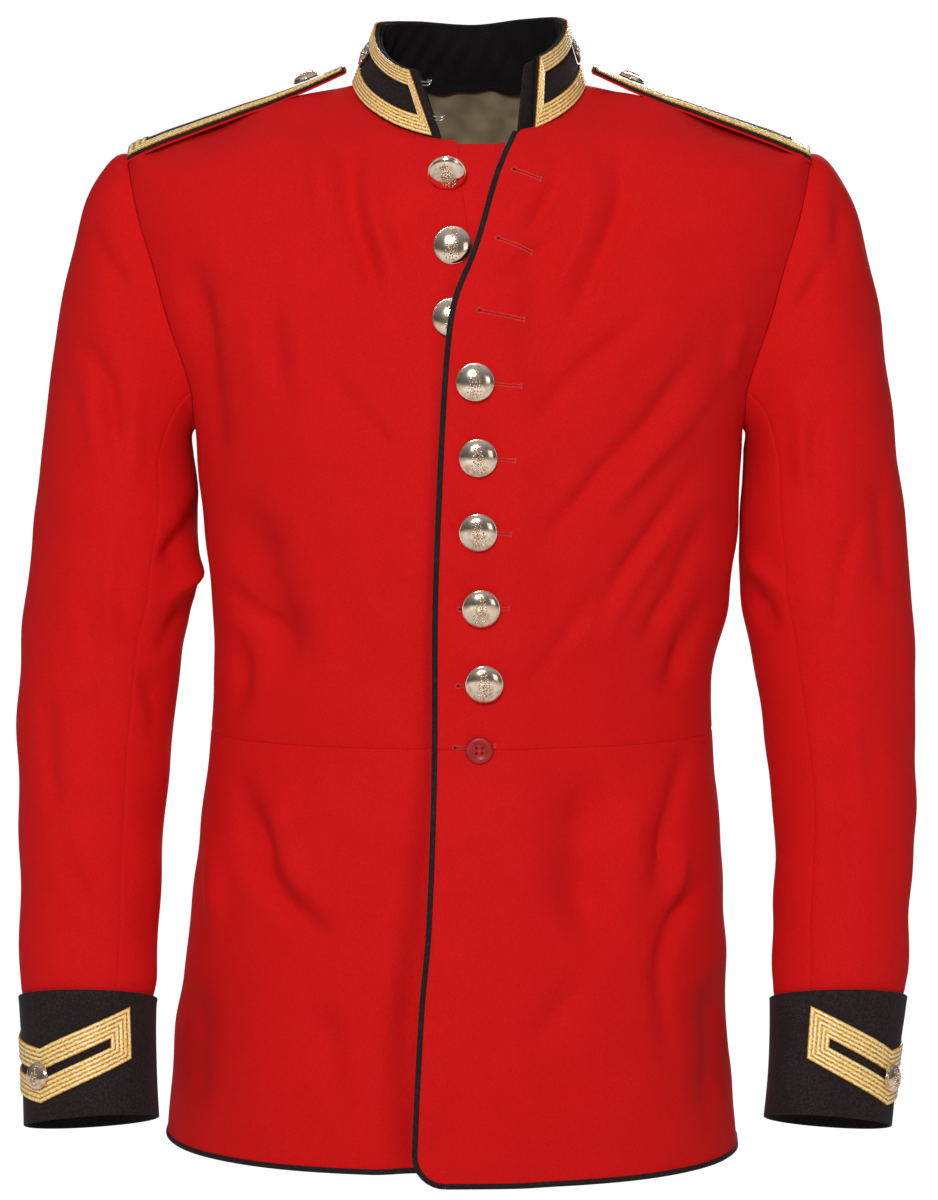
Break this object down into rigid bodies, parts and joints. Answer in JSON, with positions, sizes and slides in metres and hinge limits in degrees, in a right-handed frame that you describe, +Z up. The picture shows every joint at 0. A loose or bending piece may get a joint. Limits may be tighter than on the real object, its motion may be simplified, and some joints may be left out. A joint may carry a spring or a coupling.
{
  "type": "military dress tunic",
  "caption": "Scarlet dress tunic with a stand collar, gold lace on collar, cuffs and straps, dome buttons and a front that opens at the neck, in its worn shape.",
  "frame": {"origin": "between the wearer's shoulders on the shoulder line, at the root of the neck, where the wearer carries the tunic", "axes": "+Z up to the head, -Y to the wearer's front, +X to the wearer's left"},
  "size_m": [0.6179, 0.2942, 0.7791],
  "materials": {
    "scarlet_wool": "milled melton wool, matt with a short nap",
    "black_wool": "milled black wool, matt",
    "black_cloth": "smooth black collar lining",
    "gold_lace": "ribbed gold wire lace, bright",
    "satin_lining": "grey-beige satin lining, soft sheen",
    "plated_metal": "pale polished plating",
    "hook_steel": "plain steel wire",
    "red_plastic": "red four-hole button"
  },
  "bodies": {
    "root": {"back_left": "scarlet_wool", "back_right": "scarlet_wool", "badge_left": "plated_metal", "badge_right": "plated_metal", "button_1": "plated_metal", "button_2": "plated_metal", "button_3": "plated_metal", "button_4": "plated_metal", "button_5": "plated_metal", "button_6": "plated_metal", "button_7": "plated_metal", "button_8": "plated_metal", "button_cuff_left": "plated_metal", "button_cuff_right": "plated_metal", "button_strap_left": "plated_metal", "button_strap_right": "plated_metal", "button_waist": "red_plastic", "collar_lining": "black_cloth", "collar_stand": "black_wool", "collar_tab": "black_wool", "cuff_left": "black_wool", "cuff_right": "black_wool", "front_left": "scarlet_wool", "front_right": "scarlet_wool", "front_underlap": "scarlet_wool", "hook_lower": "hook_steel", "hook_upper": "hook_steel", "lace_collar_left": "gold_lace", "lace_collar_right": "gold_lace", "lace_cuff_left": "gold_lace", "lace_cuff_right": "gold_lace", "neck_lining_left": "satin_lining", "neck_lining_right": "satin_lining", "piping_edge": "black_wool", "piping_hem_back_left": "black_wool", "piping_hem_back_right": "black_wool", "piping_hem_front_left": "black_wool", "piping_hem_front_right": "black_wool", "skirt_back_left": "scarlet_wool", "skirt_back_right": "scarlet_wool", "skirt_front_left": "scarlet_wool", "skirt_front_right": "scarlet_wool", "sleeve_top_left": "scarlet_wool", "sleeve_top_right": "scarlet_wool", "sleeve_under_left": "scarlet_wool", "sleeve_under_right": "scarlet_wool", "strap_base_left": "scarlet_wool", "strap_base_right": "scarlet_wool", "strap_face_left": "black_wool", "strap_face_right": "black_wool", "strap_lace_left": "gold_lace", "strap_lace_right": "gold_lace"}
  },
  "joints": []
}
